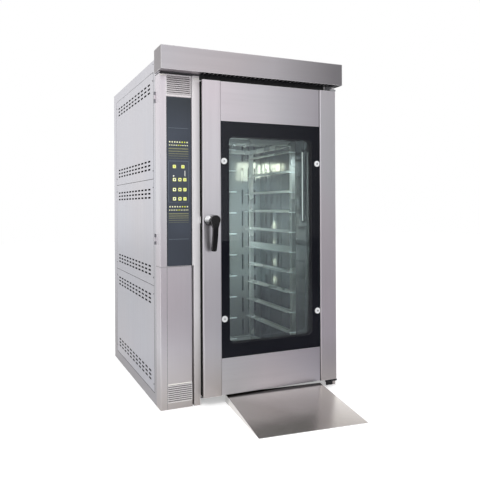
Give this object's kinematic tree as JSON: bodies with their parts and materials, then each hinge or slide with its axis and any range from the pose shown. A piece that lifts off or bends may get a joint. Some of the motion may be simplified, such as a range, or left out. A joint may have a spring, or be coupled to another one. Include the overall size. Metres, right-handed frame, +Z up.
{
  "type": "rotary rack oven",
  "caption": "Tall stainless rotary rack oven with glazed hinged door, lever latch, keypad column, steam hood, vented side panels, turning tray rack on an overhead drive and a loading ramp.",
  "frame": {"origin": "on the floor, at the middle of the cabinet's footprint, on the underside of the base frame", "axes": "+X right along the front, +Y back into the oven, +Z up"},
  "size_m": [1.1, 1.8102, 1.924],
  "materials": {
    "outer_steel": "brushed, upright grain",
    "inner_steel": "satin",
    "black_metal": "satin black",
    "black_enamel": "gloss black enamel on the glass",
    "grey_metal": "satin grey",
    "heater_steel": "oxidised tube",
    "lamp_glass": "frosted",
    "motor_paint": "semi-gloss",
    "hinge_chrome": "polished",
    "fan_aluminium": "cast",
    "door_glass": "clear",
    "fastener_aluminium": "satin",
    "gasket_rubber": "matt black",
    "latch_chrome": "polished",
    "handle_plastic": "satin black",
    "fascia_film": "satin film",
    "key_film": "satin film",
    "ramp_steel": "satin, lengthwise grain",
    "castor_plastic": "heat-resistant black"
  },
  "bodies": {
    "cabinet": {"base_frame": "outer_steel", "left_frame": "outer_steel", "left_panel_lower": "outer_steel", "left_panel_middle": "outer_steel", "left_panel_upper": "outer_steel", "right_side_panel": "outer_steel", "back_panel": "outer_steel", "roof_panel": "outer_steel", "door_frame": "outer_steel", "column_panel": "outer_steel", "hood": "outer_steel", "hood_grille": "black_metal", "chamber_liner": "inner_steel", "duct_panel": "inner_steel", "floor_pan": "inner_steel", "heating_element": "heater_steel", "lamp_tube": "lamp_glass", "gearmotor": "motor_paint", "top_hinge_bracket": "grey_metal", "bottom_hinge_bracket": "black_metal", "latch_keeper": "black_metal", "fan_motor": "motor_paint", "control_hinges": "hinge_chrome"},
    "door": {"door_stile_left": "outer_steel", "door_stile_right": "outer_steel", "door_rail_top": "outer_steel", "door_rail_bottom": "outer_steel", "outer_glass": "door_glass", "glass_border": "black_enamel", "inner_glass": "door_glass", "door_core": "black_metal", "door_inner_frame": "inner_steel", "glass_fasteners": "fastener_aluminium", "door_gasket": "gasket_rubber", "latch_housing": "latch_chrome"},
    "handle": {"handle_lever": "handle_plastic"},
    "latch": {"latch_bolt": "latch_chrome"},
    "control_door": {"control_shell": "outer_steel", "upper_louvre": "outer_steel", "fascia": "fascia_film"},
    "key_body_1": {"key_1": "key_film"},
    "key_body_2": {"key_2": "key_film"},
    "key_body_3": {"key_3": "key_film"},
    "key_body_4": {"key_4": "key_film"},
    "key_body_5": {"key_5": "key_film"},
    "key_body_6": {"key_6": "key_film"},
    "key_body_7": {"key_7": "key_film"},
    "key_body_8": {"key_8": "key_film"},
    "key_body_9": {"key_9": "key_film"},
    "key_body_10": {"key_10": "key_film"},
    "key_body_11": {"key_11": "key_film"},
    "fan": {"fan_wheel": "fan_aluminium"},
    "rack": {"drive_hook": "inner_steel", "rack_frame": "inner_steel", "rack_rails": "inner_steel"},
    "castor_front_left": {"wheel_front_left": "castor_plastic"},
    "castor_front_right": {"wheel_front_right": "castor_plastic"},
    "castor_rear_left": {"wheel_rear_left": "castor_plastic"},
    "castor_rear_right": {"wheel_rear_right": "castor_plastic"},
    "loading_ramp": {"ramp": "ramp_steel"}
  },
  "joints": [
    {"name": "door_swing", "type": "hinge", "parent": "cabinet", "child": "door", "pos_m": [0.502, -0.636, 0.9], "axis": [0, 0, 1], "range_deg": [0, 120]},
    {"name": "handle_turn", "type": "hinge", "parent": "door", "child": "handle", "pos_m": [-0.273, -0.704, 0.999], "axis": [0, -1, 0], "range_deg": [0, 90]},
    {"name": "latch_slide", "type": "slide", "parent": "door", "child": "latch", "axis": [1, 0, 0], "range_m": [0, 0.01]},
    {"name": "control_door_swing", "type": "hinge", "parent": "cabinet", "child": "control_door", "pos_m": [-0.5444, -0.521, 1.28], "axis": [0, 0, -1], "range_deg": [0, 110]},
    {"name": "key_press_1", "type": "slide", "parent": "control_door", "child": "key_body_1", "axis": [0, 1, 0], "range_m": [0, 0.0012], "stiffness_N_per_m": 400},
    {"name": "key_press_2", "type": "slide", "parent": "control_door", "child": "key_body_2", "axis": [0, 1, 0], "range_m": [0, 0.0012], "stiffness_N_per_m": 400},
    {"name": "key_press_3", "type": "slide", "parent": "control_door", "child": "key_body_3", "axis": [0, 1, 0], "range_m": [0, 0.0012], "stiffness_N_per_m": 400},
    {"name": "key_press_4", "type": "slide", "parent": "control_door", "child": "key_body_4", "axis": [0, 1, 0], "range_m": [0, 0.0012], "stiffness_N_per_m": 400},
    {"name": "key_press_5", "type": "slide", "parent": "control_door", "child": "key_body_5", "axis": [0, 1, 0], "range_m": [0, 0.0012], "stiffness_N_per_m": 400},
    {"name": "key_press_6", "type": "slide", "parent": "control_door", "child": "key_body_6", "axis": [0, 1, 0], "range_m": [0, 0.0012], "stiffness_N_per_m": 400},
    {"name": "key_press_7", "type": "slide", "parent": "control_door", "child": "key_body_7", "axis": [0, 1, 0], "range_m": [0, 0.0012], "stiffness_N_per_m": 400},
    {"name": "key_press_8", "type": "slide", "parent": "control_door", "child": "key_body_8", "axis": [0, 1, 0], "range_m": [0, 0.0012], "stiffness_N_per_m": 400},
    {"name": "key_press_9", "type": "slide", "parent": "control_door", "child": "key_body_9", "axis": [0, 1, 0], "range_m": [0, 0.0012], "stiffness_N_per_m": 400},
    {"name": "key_press_10", "type": "slide", "parent": "control_door", "child": "key_body_10", "axis": [0, 1, 0], "range_m": [0, 0.0012], "stiffness_N_per_m": 400},
    {"name": "key_press_11", "type": "slide", "parent": "control_door", "child": "key_body_11", "axis": [0, 1, 0], "range_m": [0, 0.0012], "stiffness_N_per_m": 400},
    {"name": "fan_spin", "type": "hinge", "parent": "cabinet", "child": "fan", "pos_m": [0.106, 0.42, 1.15], "axis": [0, 1, 0], "continuous": true},
    {"name": "rack_spin", "type": "hinge", "parent": "cabinet", "child": "rack", "pos_m": [0.106, -0.17, 1.5], "axis": [0, 0, 1], "continuous": true},
    {"name": "castor_roll_front_left", "type": "hinge", "parent": "rack", "child": "castor_front_left", "pos_m": [-0.084, -0.415, 0.088], "axis": [1, 0, 0], "continuous": true},
    {"name": "castor_roll_front_right", "type": "hinge", "parent": "rack", "child": "castor_front_right", "pos_m": [0.296, -0.415, 0.088], "axis": [1, 0, 0], "continuous": true},
    {"name": "castor_roll_rear_left", "type": "hinge", "parent": "rack", "child": "castor_rear_left", "pos_m": [-0.084, 0.075, 0.088], "axis": [1, 0, 0], "continuous": true},
    {"name": "castor_roll_rear_right", "type": "hinge", "parent": "rack", "child": "castor_rear_right", "pos_m": [0.296, 0.075, 0.088], "axis": [1, 0, 0], "continuous": true},
    {"name": "ramp_pull", "type": "slide", "parent": "cabinet", "child": "loading_ramp", "axis": [0, -1, 0], "range_m": [0, 0.4]}
  ],
  "couplings": [
    {"joint": "latch_slide", "follows": "handle_turn", "m_per_rad": 0.00636}
  ]
}
